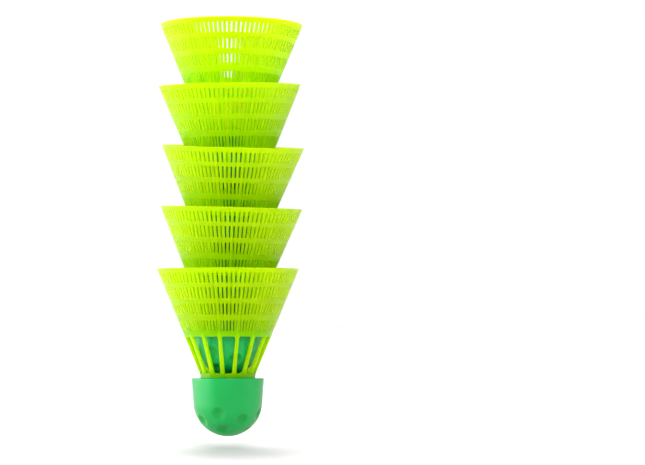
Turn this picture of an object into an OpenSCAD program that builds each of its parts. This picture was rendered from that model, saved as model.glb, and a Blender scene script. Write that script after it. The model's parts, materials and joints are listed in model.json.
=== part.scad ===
// A nested stack of plastic badminton shuttlecocks. Millimetres, +Z up.
// The origin is the tip of the lowest shuttlecock's nose, and its axis is +Z.

/* [Head] */
// Diameter of the head at its flat top edge
head_d = 28; // [26:0.5:32]
// Height of the head from nose tip to flat top
head_h = 22.5; // [20:0.5:28]
// How much less the nose's radius is than the radius of the flat top
nose_inset = 0.7; // [0.2:0.1:1.5]
// Size of the broken edge round the head's flat top
head_edge = 0.5; // [0.2:0.1:1]
// Diameter of each dimple's mouth
dimple_d = 5.4; // [4:0.1:6.4]
// Depth of each dimple
dimple_depth = 0.9; // [0.4:0.1:1.2]

/* [Skirt] */
// Outer diameter of the open rim
rim_d = 55; // [48:1:68]
// Height of the rim above the head's flat top
skirt_h = 42.4; // [36:0.2:52]
// Outer diameter of the collar that stands on the head
collar_d = 21.4; // [19:0.2:24]
// Height of the collar above the head
collar_h = 1.8; // [1.2:0.1:3]
// Radial wall of the collar
collar_wall = 1.4; // [1:0.1:2]
// Thickness of the lattice wall
lattice_wall = 0.9; // [0.5:0.05:0.9]
// Height of the solid band under the rim
rim_band = 1.9; // [1.2:0.1:3]
// Heights of the rows of slots, from the rim down
row_h = [3.9, 4.4, 4.3, 4.1];
// Heights of the solid bands under each row, from the rim down
band_h = [1.6, 1.9, 2.2, 2.1];
// Slots in each row between two stems
slots_per_bay = 6; // [4:1:8]
// Width of a slot as a share of the slot pitch
slot_share = 0.38; // [0.3:0.02:0.6]

/* [Stems] */
// Number of stems round the skirt
stem_n = 15; // [12:1:18]
// Width of a stem at the collar
stem_foot_w = 1.7; // [1.2:0.1:2.2]
// Width of a stem at the rim
stem_tip_w = 0.75; // [0.5:0.05:1]
// How far a stem stands out of the lattice
stem_proud = 0.2; // [0.1:0.05:0.4]
// Depth of a stem from the lattice's outer face, at the collar
stem_foot_depth = 1.3; // [1.1:0.1:1.8]
// Depth of a stem from the lattice's outer face, at the rim
stem_tip_depth = 1.0; // [0.9:0.1:1.4]

/* [Joint of skirt and head] */
// How far the tail glued into the head is set in from the collar's outer face
tail_step = 0.9; // [0.4:0.1:2]
// Length of the tail below the head's flat top
tail_l = 7.5; // [5:0.5:10]
// Radial wall of the tail
tail_wall = 1.3; // [1:0.1:1.8]
// Radial gap between the tail and the head's socket
tail_gap = 0.05; // [0.03:0.01:0.1]
// Height of the glue groove round the tail
glue_h = 3; // [2:0.5:4]
// Depth of the glue groove into the tail
glue_depth = 0.5; // [0.3:0.1:0.7]

/* [Stack] */
// Gap between a nested nose and the stems that carry it
seat_gap = 0.3; // [0.1:0.05:0.4]
// Lean of each shuttlecock towards +Y from the one below it, in degrees
lean_back = [0, -1, -2, 2.5, 4.5];
// Lean of each shuttlecock towards +X from the one below it, in degrees
lean_side = [0, 1.5, 0, -2.2, 1.2];
// Turn of each shuttlecock about its own axis, in degrees
turn = [13, 1, 9, 21, 6];

/* [Hidden] */
$fn = 96;
eps = 0.01;
cut = 1; // how far a cutter runs past what it cuts

head_r = head_d / 2;
nose_r = head_r - nose_inset;
rim_r = rim_d / 2;
collar_r = collar_d / 2;
tail_r = collar_r - tail_step;
socket_r = tail_r + tail_gap;
socket_z = head_h - tail_l;

// Side of the head: a cone that is tangent to the nose sphere and ends at the flat top's edge.
side_h = head_h - nose_r;
side_angle = acos(nose_r / norm([head_r, side_h])) - atan2(side_h, head_r);
tangent_r = nose_r * cos(side_angle);
tangent_z = nose_r * (1 - sin(side_angle));

// Dimples in rings round the nose: [angle below the nose's equator, turn of the ring].
dimple_n = 4;
dimple_rings = [[20, 60], [32, 15], [54, 63]];
dimple_r = (pow(dimple_d / 2, 2) + pow(dimple_depth, 2)) / (2 * dimple_depth);

// The skirt's outer face is one cone from the collar's top to the rim.
collar_z = head_h + collar_h;
rim_z = head_h + skirt_h;
cone_tan = (rim_r - collar_r) / (rim_z - collar_z);
bay = 360 / stem_n;
slot_pitch = bay / slots_per_bay;

function sum(list, n) = n <= 0 ? 0 : list[n - 1] + sum(list, n - 1);
function outer_r(z) = collar_r + (z - collar_z) * cone_tan;
function row_top(i) = rim_z - rim_band - sum(row_h, i) - sum(band_h, i);

lattice_z = row_top(len(row_h));
wall_x = lattice_wall / cos(atan(cone_tan)); // the lattice's wall measured level

// Inner faces of the stems, and where a nested nose comes to rest between them.
stem_tip_z = rim_z - rim_band / 2;
stem_in_foot = collar_r - stem_foot_depth;
stem_in_tip = outer_r(stem_tip_z) - stem_tip_depth;
seat_tan = (stem_in_tip - stem_in_foot) / (stem_tip_z - collar_z);
seat_angle = atan(seat_tan);
function stem_in_r(z) = stem_in_foot + (z - collar_z) * seat_tan;

pitch = collar_z + ((nose_r + seat_gap) / cos(seat_angle) - stem_in_foot) / seat_tan - nose_r;

module ring_profile(points) {
    rotate_extrude() polygon(points);
}

module dimple_cutters() {
    for (ring = dimple_rings)
        for (i = [0 : dimple_n - 1])
            rotate([0, 0, ring[1] + i * 360 / dimple_n])
                rotate([0, ring[0], 0])
                    translate([nose_r + dimple_r - dimple_depth, 0, 0])
                        sphere(r = dimple_r);
}

// Half of the head's section: the nose circle, the flared side and the broken top edge.
module head_section() {
    intersection() {
        square([head_r + cut, head_h]);
        union() {
            translate([0, nose_r]) circle(r = nose_r);
            polygon([
                [0, tangent_z],
                [tangent_r, tangent_z],
                [head_r - head_edge * tan(side_angle), head_h - head_edge],
                [head_r - head_edge, head_h],
                [0, head_h],
            ]);
        }
    }
}

module head() {
    color("mediumseagreen")
        difference() {
            rotate_extrude() head_section();
            translate([0, 0, nose_r]) dimple_cutters();
            translate([0, 0, socket_z]) cylinder(r = socket_r, h = tail_l + cut);
        }
}

// The collar and the tail below it, with the groove that the glue fills.
module collar_and_tail() {
    groove_z = head_h - tail_l / 2 - glue_h / 2;
    ring_profile([
        [tail_r - tail_wall, socket_z],
        [tail_r, socket_z],
        [tail_r, groove_z],
        [tail_r - glue_depth, groove_z],
        [tail_r - glue_depth, groove_z + glue_h],
        [tail_r, groove_z + glue_h],
        [tail_r, head_h],
        [collar_r, head_h],
        [collar_r, collar_z],
        [collar_r - collar_wall, collar_z],
        [tail_r - tail_wall, head_h],
    ]);
}

// A ring of the skirt's cone between two heights.
module cone_ring(low, high) {
    ring_profile([
        [outer_r(low) - wall_x, low],
        [outer_r(low), low],
        [outer_r(high), high],
        [outer_r(high) - wall_x, high],
    ]);
}

// One row of slots, in its own ring of the cone with half of the band above and of the band below.
module slot_row(row) {
    top = row_top(row);
    bottom = top - row_h[row];
    high = row == 0 ? rim_z : top + band_h[row - 1] / 2;
    low = row == len(row_h) - 1 ? lattice_z : bottom - band_h[row] / 2;
    inner = outer_r(bottom) - wall_x - cut;
    wide = 2 * outer_r(top - row_h[row] / 2) * sin(slot_pitch * slot_share / 2);
    difference() {
        cone_ring(low, high);
        for (i = [0 : stem_n * slots_per_bay - 1])
            rotate([0, 0, (i + 0.5) * slot_pitch])
                translate([inner, -wide / 2, bottom])
                    cube([outer_r(top) + cut - inner, wide, row_h[row]]);
    }
}

// One stem: its side view and its front view, each extruded, and what they share.
module stem() {
    foot_z = collar_z - collar_h / 2;
    intersection() {
        rotate([90, 0, 0])
            linear_extrude(height = stem_foot_w + 2 * cut, center = true)
                polygon([
                    [stem_in_r(foot_z), foot_z],
                    [collar_r - 2 * stem_proud, foot_z],
                    [outer_r(collar_z + stem_proud) + stem_proud, collar_z + stem_proud],
                    [outer_r(stem_tip_z) + stem_proud, stem_tip_z - stem_proud],
                    [outer_r(stem_tip_z) - wall_x / 2, stem_tip_z],
                    [stem_in_r(stem_tip_z), stem_tip_z - stem_proud],
                ]);
        rotate([90, 0, 90])
            linear_extrude(height = rim_r + cut)
                polygon([
                    [-stem_foot_w / 2, foot_z - cut],
                    [stem_foot_w / 2, foot_z - cut],
                    [stem_tip_w / 2, rim_z],
                    [-stem_tip_w / 2, rim_z],
                ]);
    }
}

module skirt() {
    color("greenyellow")
        union() {
            collar_and_tail();
            for (row = [0 : len(row_h) - 1]) slot_row(row);
            for (i = [0 : stem_n - 1])
                rotate([0, 0, i * bay]) stem();
        }
}

// The bead of glue in the tail's groove, out to the wall of the head's socket.
module glue() {
    groove_z = head_h - tail_l / 2 - glue_h / 2;
    color("khaki")
        ring_profile([
            [tail_r - glue_depth, groove_z],
            [socket_r, groove_z],
            [socket_r, groove_z + glue_h],
            [tail_r - glue_depth, groove_z + glue_h],
        ]);
}

// Places its children in shuttlecock n of the stack. Each one rocks about the centre of its own nose.
module in_stack(n) {
    if (n == 0)
        children();
    else
        in_stack(n - 1)
            translate([0, 0, pitch + nose_r])
                rotate([-lean_back[n], lean_side[n], 0])
                    translate([0, 0, -nose_r])
                        children();
}

for (n = [0 : len(turn) - 1])
    in_stack(n)
        rotate([0, 0, turn[n] - 90]) {
            head();
            glue();
            skirt();
        }
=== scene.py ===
import json
import math

import bmesh
import bpy
from mathutils import Matrix, Vector


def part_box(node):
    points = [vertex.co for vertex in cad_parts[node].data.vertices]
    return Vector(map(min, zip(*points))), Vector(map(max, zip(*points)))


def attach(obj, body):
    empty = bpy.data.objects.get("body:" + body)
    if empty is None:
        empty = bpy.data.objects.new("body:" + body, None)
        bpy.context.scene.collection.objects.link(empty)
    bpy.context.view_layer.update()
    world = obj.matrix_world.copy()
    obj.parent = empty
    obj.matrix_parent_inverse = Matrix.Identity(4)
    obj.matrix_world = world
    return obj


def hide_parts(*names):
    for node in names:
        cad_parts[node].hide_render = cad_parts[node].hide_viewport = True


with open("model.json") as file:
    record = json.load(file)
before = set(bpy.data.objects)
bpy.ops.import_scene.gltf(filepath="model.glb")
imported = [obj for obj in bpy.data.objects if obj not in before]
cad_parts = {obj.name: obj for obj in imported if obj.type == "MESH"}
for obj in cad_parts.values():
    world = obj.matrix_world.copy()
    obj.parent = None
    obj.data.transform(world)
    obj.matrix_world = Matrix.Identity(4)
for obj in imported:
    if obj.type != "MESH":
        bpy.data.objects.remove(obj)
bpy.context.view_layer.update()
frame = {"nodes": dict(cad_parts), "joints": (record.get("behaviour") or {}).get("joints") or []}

mm = 0.001
tiny = 1e-6  # two heights closer than this are the same

# The stack: how many shuttlecocks, and how far each is turned about its own axis.
stack = {
    "count": 5,
    "turns": [13, 1, 9, 21, 6],  # degrees, lowest first
    "front": -90,  # degrees, the side that a turn is counted from
    "noseRadius": 13.3,  # every size of the object is in millimetres
}


def placeShuttles():
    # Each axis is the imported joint's own, and each nose centre lies on the axis of the one below.
    axes = {j["child"]: Vector(j["axis"]).normalized() for j in frame["joints"]}
    nose = stack["noseRadius"] * mm
    places = [Matrix.Identity(4)]
    for n in range(2, stack["count"] + 1):
        below = places[-1]
        spin = below.to_3x3()
        origin = below.to_translation()
        up = spin @ Vector((0, 0, 1))
        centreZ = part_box(f"head_{n}")[0][2] + nose
        centre = origin + up * ((centreZ - origin.z) / up.z)
        lean = spin.inverted() @ axes[f"shuttle_{n}"]
        tiltX = Matrix.Rotation(-math.asin(lean.y), 3, "X")
        tiltY = Matrix.Rotation(math.atan2(lean.x, lean.z), 3, "Y")
        spin = spin @ tiltY @ tiltX
        start = centre - spin @ Vector((0, 0, nose))
        places.append(Matrix.Translation(start) @ spin.to_4x4())
    return places


def putInStack(mesh, place, turn):
    # The mesh goes to its place in the stack, and keeps where each point was on its own shuttlecock.
    own = mesh.attributes.new("ownPlace", "FLOAT_VECTOR", "POINT")
    points = [0.0] * (3 * len(mesh.vertices))
    mesh.vertices.foreach_get("co", points)
    own.data.foreach_set("vector", points)
    mesh.transform(place @ Matrix.Rotation(math.radians(turn + stack["front"]), 4, "Z"))
    return mesh


def newPiece(name, mesh, material, smoothAngle=None):
    piece = bpy.data.objects.new(name, mesh)
    bpy.context.scene.collection.objects.link(piece)
    piece.data.materials.append(material)
    if smoothAngle is not None:
        bpy.context.view_layer.objects.active = piece
        piece.select_set(True)
        bpy.ops.object.shade_smooth_by_angle(angle=math.radians(smoothAngle))
        piece.select_set(False)
    return piece


def newGroup(name, inputs, outputs):
    group = bpy.data.node_groups.new(name, "ShaderNodeTree")
    for label, kind, value in inputs:
        socket = group.interface.new_socket(name=label, in_out="INPUT", socket_type=kind)
        if value is not None:
            socket.default_value = value
    for label, kind in outputs:
        group.interface.new_socket(name=label, in_out="OUTPUT", socket_type=kind)
    return group, group.nodes.new("NodeGroupInput"), group.nodes.new("NodeGroupOutput")


def addNode(tree, kind, links=None, **settings):
    # links: socket name or number -> a value, or an output socket to connect
    node = tree.nodes.new(kind)
    for key, value in settings.items():
        setattr(node, key, value)
    for key, value in (links or {}).items():
        if isinstance(value, bpy.types.NodeSocket):
            tree.links.new(value, node.inputs[key])
        else:
            node.inputs[key].default_value = value
    return node


def mathNode(tree, operation, a, b=0.0):
    return addNode(tree, "ShaderNodeMath", {0: a, 1: b}, operation=operation).outputs[0]


def remap(tree, value, low, high, toLow=0.0, toHigh=1.0):
    links = {"Value": value, "From Min": low, "From Max": high, "To Min": toLow, "To Max": toHigh}
    return addNode(tree, "ShaderNodeMapRange", links).outputs["Result"]


def mixColour(tree, factor, a, b, blend="MIX"):
    # inputs 6 and 7 and output 2 are the Mix node's colour sockets
    links = {0: factor, 6: a, 7: b}
    return addNode(tree, "ShaderNodeMix", links, data_type="RGBA", blend_type=blend).outputs[2]


def heightRamp(tree, height, stops):
    lowest, highest = stops[0][0] * mm, stops[-1][0] * mm
    ramp = addNode(tree, "ShaderNodeValToRGB", {0: remap(tree, height, lowest, highest)})
    while len(ramp.color_ramp.elements) < len(stops):
        ramp.color_ramp.elements.new(0.5)
    for element, (level, colour) in zip(ramp.color_ramp.elements, stops):
        element.position = (level * mm - lowest) / (highest - lowest)
        element.color = colour
    return ramp.outputs["Color"]


skinSettings = {
    "flowStretch": (1.0, 1.0, 0.08),  # flow marks run along the axis
    "flowDetail": 2.0,
    "peelDetail": 3.0,
    "broadScale": 70.0,
    "mottleRange": (0.35, 0.65),  # the part of the broad noise that the mask spreads out
}


def buildMouldSkin():
    # The faint orange-peel skin and flow marks of a moulded part: one height and one mottling mask.
    k = skinSettings
    group, start, end = newGroup(
        "mouldSkin",
        [
            ("Vector", "NodeSocketVector", None),
            ("Peel Scale", "NodeSocketFloat", 900.0),
            ("Flow Scale", "NodeSocketFloat", 260.0),
            ("Flow Amount", "NodeSocketFloat", 0.5),
        ],
        [("Height", "NodeSocketFloat"), ("Mottle", "NodeSocketFloat")],
    )
    vector = start.outputs["Vector"]
    peel = addNode(
        group,
        "ShaderNodeTexNoise",
        {"Vector": vector, "Scale": start.outputs["Peel Scale"], "Detail": k["peelDetail"]},
    )
    stretched = addNode(group, "ShaderNodeMapping", {"Vector": vector, "Scale": k["flowStretch"]})
    flow = addNode(
        group,
        "ShaderNodeTexNoise",
        {"Vector": stretched.outputs[0], "Scale": start.outputs["Flow Scale"], "Detail": k["flowDetail"]},
    )
    flowPart = mathNode(group, "MULTIPLY", flow.outputs[0], start.outputs["Flow Amount"])
    height = mathNode(group, "ADD", peel.outputs[0], flowPart)
    noise = {"Vector": vector, "Scale": k["broadScale"], "Detail": k["flowDetail"]}
    broad = addNode(group, "ShaderNodeTexNoise", noise)
    group.links.new(height, end.inputs["Height"])
    group.links.new(remap(group, broad.outputs[0], *k["mottleRange"]), end.inputs["Mottle"])
    return group


def buildPaintedEdgeHighlight():
    # Where an edge is proud, the foam gets a painted highlight, a paler green: a mask from how convex the
    # surface is.
    group, start, end = newGroup(
        "paintedEdgeHighlight",
        [("Low", "NodeSocketFloat", 0.52), ("High", "NodeSocketFloat", 0.62)],
        [("Mask", "NodeSocketFloat")],
    )
    geometry = group.nodes.new("ShaderNodeNewGeometry")
    mask = remap(group, geometry.outputs["Pointiness"], start.outputs["Low"], start.outputs["High"])
    group.links.new(mask, end.inputs["Mask"])
    return group


mouldSkin = buildMouldSkin()
paintedEdgeHighlight = buildPaintedEdgeHighlight()


def newMaterial(name):
    material = bpy.data.materials.new(name)
    material.use_nodes = True
    tree = material.node_tree
    return material, tree, tree.nodes["Principled BSDF"]


def placeGroup(tree, group, links):
    return addNode(tree, "ShaderNodeGroup", links, node_tree=group)


def addBump(tree, shader, height, strength, distance):
    bump = addNode(tree, "ShaderNodeBump", {"Height": height, "Strength": strength, "Distance": distance})
    tree.links.new(bump.outputs[0], shader.inputs["Normal"])


skirtSettings = {
    "rimRadius": 27.49,
    "rimTop": 64.89,
    "collarRadius": 10.7,
    "collarTop": 24.3,
    "collarBottom": 22.5,
    "collarBore": 9.3,
    "wall": 0.974,  # of the cone, measured across the axis
    "slotRows": [(63.0, 59.1), (57.5, 53.1), (51.2, 46.9), (44.7, 40.6)],  # top and bottom of each
    "latticeBottom": 38.5,
    "stems": 15,
    "slotsPerBay": 6,
    "slotShare": 0.38,  # how much of their spacing the slots take
    "stemFoot": (23.4, 1.7),  # height and width
    "stemRim": (64.89, 0.75),  # the same at the rim
    "stemProud": 0.2,
    "latticeProud": 0.35,  # share of it that shows across the lattice
    "stemInnerFoot": 9.4,
    "stemInnerSlope": 0.42136,
    "stemTip": 63.95,
    "stemRound": 0.16,  # share of the stem's width that its rounded shoulder takes
    "fillets": [(0.0, 0.9), (0.2, 0.45), (0.5, 0.15), (1.0, 0.0)],  # way from a window's end, extra width
    "slotEnd": 0.2,  # length over which a slot's end narrows
    "slotEndShare": 0.55,
    "tailRadius": 9.8,
    "tailBore": 8.5,
    "tailBottom": 15.0,
    "collarEdge": 0.4,  # height of the ring of faces below the collar's top
    "slotClear": 0.12,  # degrees, least wall between a stem's foot and a slot
    "slotLeast": 0.1,  # degrees, least width of the slot beside a stem
    "boreEase": 0.02,  # how much wider the bore is at the collar's foot than in the tail
    "boreStep": 0.3,  # and over what height it narrows
    "smoothAngle": 32,
    "limeAndPaintedShadeByHeight": [  # height in millimetres, colour: painted light and shade, lighter towards the rim, darker and greener at the collar and above the windows, where the green head shows through the wall in front of it
        (22.5, (0.14, 0.80, 0.0, 1)),
        (26.0, (0.38, 0.92, 0.0, 1)),
        (36.0, (0.38, 0.96, 0.0, 1)),
        (39.5, (0.26, 0.94, 0.0, 1)),
        (46.0, (0.42, 0.98, 0.0, 1)),
        (58.0, (0.50, 1.0, 0.0, 1)),
    ],
    "mottleLime": (0.92, 0.96, 1.0, 1),  # multiplied in where the skin is mottled
    "mottleShare": 0.7,
    "glowLime": (0.70, 1.0, 0.0, 1),  # light that comes through the wall
    "glowShare": 0.18,  # how much of the finish that light is
    "gloss": (0.6, 1.0, 0.05, 1),
    "roughness": (0.34, 0.46),
    "ior": 1.5,
    "subsurface": 1.0,
    "subsurfaceRadius": (1.0, 1.0, 0.3),
    "subsurfaceScale": 0.008,  # metres
    "flow": 0.8,
    "bump": 0.25,
    "bumpHeight": 0.00004,  # metres
}


def coneRadius(z):
    s = skirtSettings
    slope = (s["rimRadius"] - s["collarRadius"]) / (s["rimTop"] - s["collarTop"])
    return s["collarRadius"] + (z - s["collarTop"]) * slope


def stemWidth(z):
    (lowZ, lowWidth), (highZ, highWidth) = skirtSettings["stemFoot"], skirtSettings["stemRim"]
    return lowWidth + (z - lowZ) * (highWidth - lowWidth) / (highZ - lowZ)


def skirtLevels():
    # Every height at which the skirt's section changes, from the rim down, and what lies below it.
    s = skirtSettings
    levels = [(s["rimTop"], "band"), (s["stemTip"], "band")]
    for top, bottom in s["slotRows"]:
        levels += [(top, "slots"), (top - s["slotEnd"], "slots")]
        levels += [(bottom + s["slotEnd"], "slots"), (bottom, "band")]
    top, bottom = s["latticeBottom"], s["collarTop"]
    levels += [(top - step, "windows") for step, extra in s["fillets"]]
    levels += [(bottom + step, "windows") for step, extra in reversed(s["fillets"][1:])]
    levels += [(bottom, "band"), (bottom - s["collarEdge"], "band")]
    return levels


def slotNarrowing(z):
    for top, bottom in skirtSettings["slotRows"]:
        if abs(z - top) < tiny or abs(z - bottom) < tiny:
            return skirtSettings["slotEndShare"]
    return 1.0


def filletWidth(z):
    s = skirtSettings
    if not s["collarTop"] <= z <= s["latticeBottom"]:
        return 0.0
    gap = min(z - s["collarTop"], s["latticeBottom"] - z)
    for (near, wide), (far, slim) in zip(s["fillets"], s["fillets"][1:]):
        if gap <= far:
            return wide + (gap - near) * (slim - wide) / (far - near)
    return 0.0


def bayAngles(z):
    # The columns of one bay at one height, in degrees from the middle of a stem to just before the next.
    s = skirtSettings
    bay = 360 / s["stems"]
    pitch = bay / s["slotsPerBay"]
    radius = coneRadius(max(z, s["collarTop"]))
    wide = stemWidth(z) + filletWidth(z)
    foot = math.degrees(wide / 2 / radius)
    shoulder = foot - math.degrees(s["stemRound"] * stemWidth(z) / radius)
    half = pitch * s["slotShare"] / 2 * slotNarrowing(z)
    slots = []
    for i in range(s["slotsPerBay"]):
        middle = (i + 0.5) * pitch
        slots += [middle - half, middle + half]
    slots[0] = max(slots[0], foot + s["slotClear"])
    slots[1] = max(slots[1], slots[0] + s["slotLeast"])
    slots[-1] = bay - slots[0]
    slots[-2] = bay - slots[1]
    return [0.0, shoulder, foot] + slots + [bay - foot, bay - shoulder]


def isSolid(kind, column, columns):
    # columns: stem middle, shoulder, foot, then slot edges in pairs, then foot and shoulder again
    if kind == "band":
        return True
    if kind == "slots":
        return not (3 <= column <= columns - 4 and column % 2 == 1)
    return column < 2 or column >= columns - 2


def skirtRadii(z, column, columns):
    # Outer and inner radius at a height: the stem's middle and shoulders stand out of the cone both ways.
    s = skirtSettings
    outer = coneRadius(z) if z >= s["collarTop"] else s["collarRadius"]
    if z < s["collarTop"]:
        inner = s["tailBore"] + (s["collarBore"] - s["tailBore"]) * (z - s["collarBottom"]) / (
            s["collarTop"] - s["collarBottom"]
        )
    else:
        inner = max(outer - s["wall"], s["collarBore"])
    onStem = column < 2 or column == columns - 1
    if onStem:
        proud = s["stemProud"]
        if z > s["stemTip"] - tiny or z < s["collarTop"] - tiny:
            proud = 0.0
        elif z > s["latticeBottom"] + tiny:
            proud *= s["latticeProud"]
        outer += proud
        if s["collarTop"] < z <= s["stemTip"]:
            inner = s["stemInnerFoot"] + (z - s["collarTop"]) * s["stemInnerSlope"]
    return outer, inner


def polar(radius, angle, z):
    turn = math.radians(angle)
    return Vector((radius * math.cos(turn), radius * math.sin(turn), z)) * mm


def buildSkirtMesh():
    s = skirtSettings
    bay = 360 / s["stems"]
    levels = skirtLevels()
    columns = len(bayAngles(s["rimTop"]))
    around = columns * s["stems"]
    bm = bmesh.new()
    outer, inner = [], []
    for z, kind in levels:
        angles = bayAngles(z)
        rowOut, rowIn = [], []
        for k in range(s["stems"]):
            for column, angle in enumerate(angles):
                outR, inR = skirtRadii(z, column, columns)
                rowOut.append(bm.verts.new(polar(outR, k * bay + angle, z)))
                rowIn.append(bm.verts.new(polar(inR, k * bay + angle, z)))
        outer.append(rowOut)
        inner.append(rowIn)
    kinds = [kind for z, kind in levels[:-1]]
    # the collar's foot and the tail below it carry straight on from the last level
    tail = [
        (s["collarRadius"], s["collarBottom"], s["tailBore"] + s["boreEase"], s["collarBottom"]),
        (s["tailRadius"], s["collarBottom"], s["tailBore"], s["collarBottom"] - s["boreStep"]),
        (s["tailRadius"], s["tailBottom"], s["tailBore"], s["tailBottom"]),
    ]
    angles = [k * bay + a for k in range(s["stems"]) for a in bayAngles(s["collarBottom"])]
    for outR, outZ, inR, inZ in tail:
        outer.append([bm.verts.new(polar(outR, a, outZ)) for a in angles])
        inner.append([bm.verts.new(polar(inR, a, inZ)) for a in angles])
        kinds.append("band")
    solid = [[isSolid(kind, c % columns, columns) for c in range(around)] for kind in kinds]
    rows = len(kinds)
    for r in range(rows):
        for c in range(around):
            if not solid[r][c]:
                continue
            n = (c + 1) % around
            bm.faces.new((outer[r + 1][c], outer[r + 1][n], outer[r][n], outer[r][c]))
            bm.faces.new((inner[r][c], inner[r][n], inner[r + 1][n], inner[r + 1][c]))
            if not solid[r][n]:
                bm.faces.new((outer[r + 1][n], inner[r + 1][n], inner[r][n], outer[r][n]))
            if not solid[r][c - 1]:
                bm.faces.new((outer[r][c], inner[r][c], inner[r + 1][c], outer[r + 1][c]))
            if r == 0 or not solid[r - 1][c]:
                bm.faces.new((outer[r][c], outer[r][n], inner[r][n], inner[r][c]))
            if r == rows - 1 or not solid[r + 1][c]:
                bm.faces.new((outer[r + 1][n], outer[r + 1][c], inner[r + 1][c], inner[r + 1][n]))
    loose = [v for v in bm.verts if not v.link_faces]
    bmesh.ops.delete(bm, geom=loose, context="VERTS")
    bmesh.ops.recalc_face_normals(bm, faces=bm.faces)
    mesh = bpy.data.meshes.new("skirtMesh")
    bm.to_mesh(mesh)
    bm.free()
    return mesh


def buildSkirtMaterial():
    s = skirtSettings
    material, tree, shader = newMaterial("limeNylon")
    own = addNode(tree, "ShaderNodeAttribute", attribute_name="ownPlace")
    skin = placeGroup(tree, mouldSkin, {"Vector": own.outputs["Vector"], "Flow Amount": s["flow"]})
    axisParts = addNode(tree, "ShaderNodeSeparateXYZ", {0: own.outputs["Vector"]})
    # the lime colour with painted light and shade by height: darker and greener at the collar and above the
    # windows
    body = heightRamp(tree, axisParts.outputs["Z"], s["limeAndPaintedShadeByHeight"])
    mottle = mathNode(tree, "MULTIPLY", skin.outputs["Mottle"], s["mottleShare"])
    body = mixColour(tree, mottle, body, s["mottleLime"], "MULTIPLY")
    tree.links.new(body, shader.inputs["Base Color"])
    rough = remap(tree, skin.outputs["Mottle"], 0.0, 1.0, *s["roughness"])
    tree.links.new(rough, shader.inputs["Roughness"])
    shader.inputs["Subsurface Weight"].default_value = s["subsurface"]
    shader.inputs["Subsurface Radius"].default_value = s["subsurfaceRadius"]
    shader.inputs["Subsurface Scale"].default_value = s["subsurfaceScale"]
    shader.inputs["IOR"].default_value = s["ior"]
    shader.inputs["Specular Tint"].default_value = s["gloss"]
    addBump(tree, shader, skin.outputs["Height"], s["bump"], s["bumpHeight"])
    through = addNode(tree, "ShaderNodeBsdfTranslucent", {"Color": s["glowLime"]})
    parts = {0: s["glowShare"], 1: shader.outputs[0], 2: through.outputs[0]}
    both = addNode(tree, "ShaderNodeMixShader", parts)
    tree.links.new(both.outputs[0], tree.nodes["Material Output"].inputs["Surface"])
    return material


headSettings = {
    "topRadius": 14.0,
    "height": 22.5,
    "edgeRound": 0.5,
    "socketRadius": 9.85,
    "socketFloor": 15.0,
    "dimpleRings": [(20, 60), (32, 15), (54, 63)],  # degrees below the equator, turn of the ring
    "dimplesPerRing": 4,
    "dimpleRadius": 2.85,
    "dimpleDepth": 1.1,
    "pitPower": 1.3,  # how round the dimple's wall is
    "dimpleShadeFade": 2.2,  # how soon the dimple's painted shade is full
    "socketLip": 0.15,  # broken edge of the socket
    "socketRound": 0.3,  # and of its floor
    "topFlat": 1.5,  # width of the flat beside the socket
    "around": 240,  # faces round the head, then rings of them up each part
    "noseRings": 76,
    "sideRings": 10,
    "edgeRings": 6,
    "smoothAngle": 60,
    "green": (0.0, 0.38, 0.062, 1),
    "deepGreen": (0.0, 0.34, 0.055, 1),
    "edgeHighlightGreen": (0.01, 0.45, 0.09, 1),
    "dimpleShadeGreen": (0.0, 0.31, 0.036, 1),
    "edgeRange": (0.505, 0.56),  # how convex an edge is when its painted highlight starts, and when it is strongest
    "edgeHighlightShare": 0.6,
    "roughness": (0.36, 0.44),
    "gloss": (0.45, 1.0, 0.65, 1),
    "ior": 1.65,
    "flow": 0.15,
    "poreScale": 2200.0,
    "poreReach": 0.45,
    "poreShare": 0.6,
    "bump": 0.3,
    "bumpHeight": 0.00004,  # metres
}


def headProfile():
    # Half section from the nose round the flared side and the rounded top edge into the socket.
    h = headSettings
    nose = stack["noseRadius"]
    side = h["height"] - nose
    flare = math.acos(nose / math.hypot(h["topRadius"], side)) - math.atan2(side, h["topRadius"])
    points = []
    for i in range(h["noseRings"] + 1):
        polarAngle = (math.pi / 2 - flare) * i / h["noseRings"]
        points.append((nose * math.sin(polarAngle), nose - nose * math.cos(polarAngle)))
    edge = h["edgeRound"]
    middle = Vector((h["topRadius"] - edge, h["height"] - edge))
    lowR, lowZ = points[-1]
    highR, highZ = middle.x + edge * math.cos(flare), middle.y - edge * math.sin(flare)
    for i in range(1, h["sideRings"]):
        t = i / h["sideRings"]
        points.append((lowR + (highR - lowR) * t, lowZ + (highZ - lowZ) * t))
    for i in range(h["edgeRings"] + 1):
        a = -flare + (math.pi / 2 + flare) * i / h["edgeRings"]
        points.append((middle.x + edge * math.cos(a), middle.y + edge * math.sin(a)))
    top, floor, socket = h["height"], h["socketFloor"], h["socketRadius"]
    points += [(socket + h["topFlat"], top), (socket + h["socketLip"], top)]
    points += [(socket, top - h["socketLip"]), (socket, floor + h["socketRound"])]
    points += [(socket - h["socketRound"], floor), (socket / 2, floor)]
    return points


def dimpleCentres():
    centres = []
    for below, turn in headSettings["dimpleRings"]:
        for i in range(headSettings["dimplesPerRing"]):
            a = math.radians(turn + i * 360 / headSettings["dimplesPerRing"])
            b = math.radians(below)
            centres.append(Vector((math.cos(b) * math.cos(a), math.cos(b) * math.sin(a), -math.sin(b))))
    return centres


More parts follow.
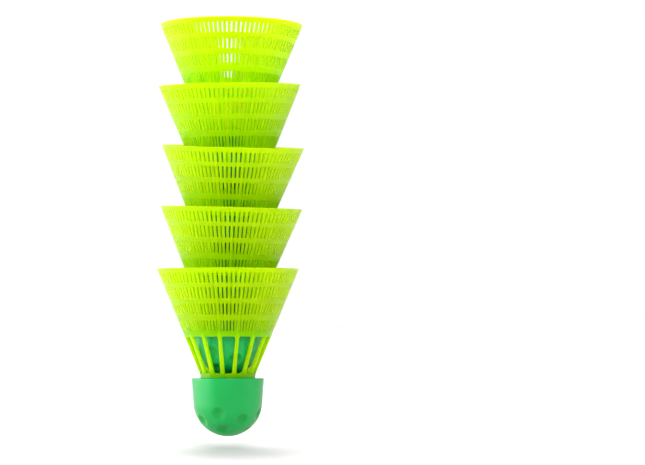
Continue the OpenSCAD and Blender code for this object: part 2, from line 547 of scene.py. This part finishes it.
def buildHeadMesh():
    h = headSettings
    nose = stack["noseRadius"]
    centre = Vector((0, 0, nose))
    centres = dimpleCentres()
    reach = math.cos(h["dimpleRadius"] / nose)
    profile = headProfile()
    bm = bmesh.new()
    # the pit layer is the mask for the painted shade in the dimples, following their depth
    pits = bm.verts.layers.float.new("pit")
    rings = []
    for radius, z in profile[1:]:
        ring = []
        for i in range(h["around"]):
            a = 2 * math.pi * i / h["around"]
            point = Vector((radius * math.cos(a), radius * math.sin(a), z))
            pit = 0.0
            ray = (point - centre).normalized()
            if z < h["socketFloor"]:
                for d in centres:
                    facing = ray.dot(d)
                    if facing > reach:
                        share = nose * math.acos(min(1.0, facing)) / h["dimpleRadius"]
                        pit = (1 - share * share) ** h["pitPower"]
                        point -= ray * h["dimpleDepth"] * pit
            ring.append(bm.verts.new(point * mm))
            ring[-1][pits] = min(1.0, h["dimpleShadeFade"] * pit)
        rings.append(ring)
    noseTip = bm.verts.new((0, 0, profile[0][1] * mm))
    floorMiddle = bm.verts.new((0, 0, h["socketFloor"] * mm))
    count = h["around"]
    for i in range(count):
        n = (i + 1) % count
        bm.faces.new((noseTip, rings[0][n], rings[0][i]))
        bm.faces.new((floorMiddle, rings[-1][i], rings[-1][n]))
        for low, high in zip(rings, rings[1:]):
            bm.faces.new((low[i], low[n], high[n], high[i]))
    bmesh.ops.recalc_face_normals(bm, faces=bm.faces)
    mesh = bpy.data.meshes.new("headMesh")
    bm.to_mesh(mesh)
    bm.free()
    return mesh


def buildHeadMaterial():
    h = headSettings
    material, tree, shader = newMaterial("greenFoam")
    own = addNode(tree, "ShaderNodeAttribute", attribute_name="ownPlace")
    skin = placeGroup(tree, mouldSkin, {"Vector": own.outputs["Vector"], "Flow Amount": h["flow"]})
    low, high = h["edgeRange"]
    edges = placeGroup(tree, paintedEdgeHighlight, {"Low": low, "High": high})
    cells = {"Vector": own.outputs["Vector"], "Scale": h["poreScale"]}
    pores = addNode(tree, "ShaderNodeTexVoronoi", cells)
    pits = remap(tree, pores.outputs["Distance"], 0.0, h["poreReach"])
    body = mixColour(tree, skin.outputs["Mottle"], h["green"], h["deepGreen"])
    # painted highlight: the proud edges are painted a paler green
    highlightShare = mathNode(tree, "MULTIPLY", edges.outputs["Mask"], h["edgeHighlightShare"])
    body = mixColour(tree, highlightShare, body, h["edgeHighlightGreen"])
    # painted shade: the dimples are painted a darker green
    pitShadeMask = addNode(tree, "ShaderNodeAttribute", attribute_name="pit")
    body = mixColour(tree, pitShadeMask.outputs["Fac"], body, h["dimpleShadeGreen"])
    tree.links.new(body, shader.inputs["Base Color"])
    rough = remap(tree, skin.outputs["Mottle"], 0.0, 1.0, *h["roughness"])
    tree.links.new(rough, shader.inputs["Roughness"])
    shader.inputs["IOR"].default_value = h["ior"]
    shader.inputs["Specular Tint"].default_value = h["gloss"]
    poreHeight = mathNode(tree, "MULTIPLY", pits, h["poreShare"])
    height = mathNode(tree, "ADD", skin.outputs["Height"], poreHeight)
    addBump(tree, shader, height, h["bump"], h["bumpHeight"])
    return material


glueSettings = {
    "amber": (0.78, 0.66, 0.34, 1),
    "paleAmber": (0.86, 0.78, 0.52, 1),
    "roughness": (0.2, 0.4),
    "peelScale": 500.0,
    "bump": 0.3,
    "bumpHeight": 0.0001,  # metres
}


def buildGlueMaterial():
    g = glueSettings
    material, tree, shader = newMaterial("amberGlue")
    coords = tree.nodes.new("ShaderNodeTexCoord")
    skin = placeGroup(tree, mouldSkin, {"Vector": coords.outputs["Object"], "Peel Scale": g["peelScale"]})
    body = mixColour(tree, skin.outputs["Mottle"], g["amber"], g["paleAmber"])
    tree.links.new(body, shader.inputs["Base Color"])
    rough = remap(tree, skin.outputs["Mottle"], 0.0, 1.0, *g["roughness"])
    tree.links.new(rough, shader.inputs["Roughness"])
    addBump(tree, shader, skin.outputs["Height"], g["bump"], g["bumpHeight"])
    return material


# Each mesh and material is made once, and every shuttlecock takes a copy of the meshes.
limeNylon = buildSkirtMaterial()
greenFoam = buildHeadMaterial()
amberGlue = buildGlueMaterial()
skirtMesh = buildSkirtMesh()
headMesh = buildHeadMesh()
print("skirt faces", len(skirtMesh.polygons), "head faces", len(headMesh.polygons))

for n, place in enumerate(placeShuttles(), start=1):
    turn = stack["turns"][n - 1]
    shape = putInStack(skirtMesh.copy(), place, turn)
    skirt = newPiece(f"nylonSkirt{n}", shape, limeNylon, skirtSettings["smoothAngle"])
    shape = putInStack(headMesh.copy(), place, turn)
    head = newPiece(f"foamHead{n}", shape, greenFoam, headSettings["smoothAngle"])
    for piece, node, slot in ((skirt, f"skirt_{n}", "skirt_nylon"), (head, f"head_{n}", "head_foam")):
        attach(piece, f"shuttle_{n}")
        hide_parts(node)
    glue = frame["nodes"][f"glue_{n}"]
    for holder in glue.material_slots:
        holder.material = amberGlue
    print("built shuttlecock", n)


studio = {
    "floorDrop": 5.6,  # mm below the lowest nose
    "floorSlope": 6.0,  # degrees down towards the camera
    "floorReach": (3.0, -3.0, 0.5),  # to each side, in front and behind, in metres
    "floorColour": (0.95, 0.88, 0.94, 1),
    "floorFibre": (300.0, 4.0),  # scale and detail of the paper's fibre
    "floorRange": (0.3, 0.7),  # the part of the noise that the fibre spreads out
    "floorShade": 0.97,  # how dark the fibre goes
    "floorRoughness": 0.9,
    "floorSpecular": 0.1,
    "floorGlow": 0.04,  # seen by the camera only
    "worldLight": 0.45,
    "darkSide": 0.05,  # what a gloss mirrors from the camera's side of the room
    "rightSide": 0.4,  # and from the right
    "rightFade": 0.6,  # how far to the right the backdrop takes to dim
    "darkFade": 0.2,  # the same towards the camera's side
    "lamps": [  # name, place and size in metres, power in watts
        ("leftPanel", (-1.0, 0.1, 0.12), (1.6, 0.5), 14.5),
        ("rightPanel", (1.1, -0.4, 0.12), (0.6, 0.6), 1.6),
        ("topBox", (-0.05, 0.15, 1.5), (0.7, 0.7), 17),
        ("frontBox", (0.2, -1.9, 1.0), (0.8, 0.8), 20),
    ],
    "lampTarget": (0, 0, 0.07),
}

cameraSettings = {
    "place": (0.0, -2.3, 0.020),  # metres
    "lookAt": (0.0367, 0.0, 0.0790),
    "lens": 330.9,
    "sensor": 36,
}


def buildFloor():
    material, tree, shader = newMaterial("palePaper")
    coords = tree.nodes.new("ShaderNodeTexCoord")
    scale, detail = studio["floorFibre"]
    grain = {"Vector": coords.outputs["Object"], "Scale": scale, "Detail": detail}
    fibre = addNode(tree, "ShaderNodeTexNoise", grain)
    shade = remap(tree, fibre.outputs[0], *studio["floorRange"], studio["floorShade"], 1.0)
    colour = mixColour(tree, 1.0, studio["floorColour"], shade, "MULTIPLY")
    tree.links.new(colour, shader.inputs["Base Color"])
    shader.inputs["Roughness"].default_value = studio["floorRoughness"]
    shader.inputs["Specular IOR Level"].default_value = studio["floorSpecular"]
    path = tree.nodes.new("ShaderNodeLightPath")
    seen = mathNode(tree, "MULTIPLY", path.outputs["Is Camera Ray"], studio["floorGlow"])
    glow = addNode(tree, "ShaderNodeEmission", {"Strength": seen})
    both = addNode(tree, "ShaderNodeAddShader", {0: shader.outputs[0], 1: glow.outputs[0]})
    tree.links.new(both.outputs[0], tree.nodes["Material Output"].inputs["Surface"])
    bm = bmesh.new()
    side, front, back = studio["floorReach"]
    corners = ((-side, front), (side, front), (side, back), (-side, back))
    bm.faces.new([bm.verts.new((x, y, 0)) for x, y in corners])
    mesh = bpy.data.meshes.new("paperFloor")
    bm.to_mesh(mesh)
    bm.free()
    floor = newPiece("paperFloor", mesh, material)
    floor.location = (0, 0, -studio["floorDrop"] * mm)
    floor.rotation_euler = (math.radians(studio["floorSlope"]), 0, 0)


def buildWorld():
    # Plain light, with a white backdrop for the camera and behind whatever a gloss or a clear piece shows.
    world = bpy.data.worlds.new("studioWorld")
    bpy.context.scene.world = world
    world.use_nodes = True
    tree = world.node_tree
    tree.nodes.clear()
    path = tree.nodes.new("ShaderNodeLightPath")
    coords = tree.nodes.new("ShaderNodeTexCoord")
    towards = addNode(tree, "ShaderNodeSeparateXYZ", {0: coords.outputs["Generated"]})
    bright = remap(tree, towards.outputs["X"], 0.0, studio["rightFade"], 1.0, studio["rightSide"])
    fade = studio["darkFade"]
    backdrop = remap(tree, towards.outputs["Y"], -fade, fade, studio["darkSide"], bright)
    mirrored = mathNode(tree, "MAXIMUM", path.outputs["Is Glossy Ray"], path.outputs["Is Transmission Ray"])
    others = mathNode(tree, "SUBTRACT", 1.0, mirrored)
    plain = mathNode(tree, "MULTIPLY", others, studio["worldLight"])
    behind = mathNode(tree, "MULTIPLY", mirrored, backdrop)
    strength = mathNode(tree, "ADD", plain, behind)
    strength = mathNode(tree, "MAXIMUM", strength, path.outputs["Is Camera Ray"])
    light = addNode(tree, "ShaderNodeBackground", {"Color": (1, 1, 1, 1), "Strength": strength})
    out = tree.nodes.new("ShaderNodeOutputWorld")
    tree.links.new(light.outputs[0], out.inputs["Surface"])


def aimAt(piece, target):
    direction = Vector(target) - piece.location
    piece.rotation_euler = direction.to_track_quat("-Z", "Y").to_euler()


def buildLamps():
    for name, place, size, power in studio["lamps"]:
        lamp = bpy.data.lights.new(name, "AREA")
        lamp.shape = "RECTANGLE"
        lamp.size, lamp.size_y = size
        lamp.energy = power
        holder = bpy.data.objects.new(name, lamp)
        bpy.context.scene.collection.objects.link(holder)
        holder.location = place
        aimAt(holder, studio["lampTarget"])


def buildCamera():
    camera = bpy.data.objects.new("camera", bpy.data.cameras.new("camera"))
    bpy.context.scene.collection.objects.link(camera)
    camera.location = cameraSettings["place"]
    camera.data.lens = cameraSettings["lens"]
    camera.data.sensor_width = cameraSettings["sensor"]
    aimAt(camera, cameraSettings["lookAt"])
    bpy.context.scene.camera = camera


buildFloor()
buildWorld()
buildLamps()
buildCamera()
bpy.context.scene.view_settings.view_transform = "Standard"
print("floor, light and camera are set")
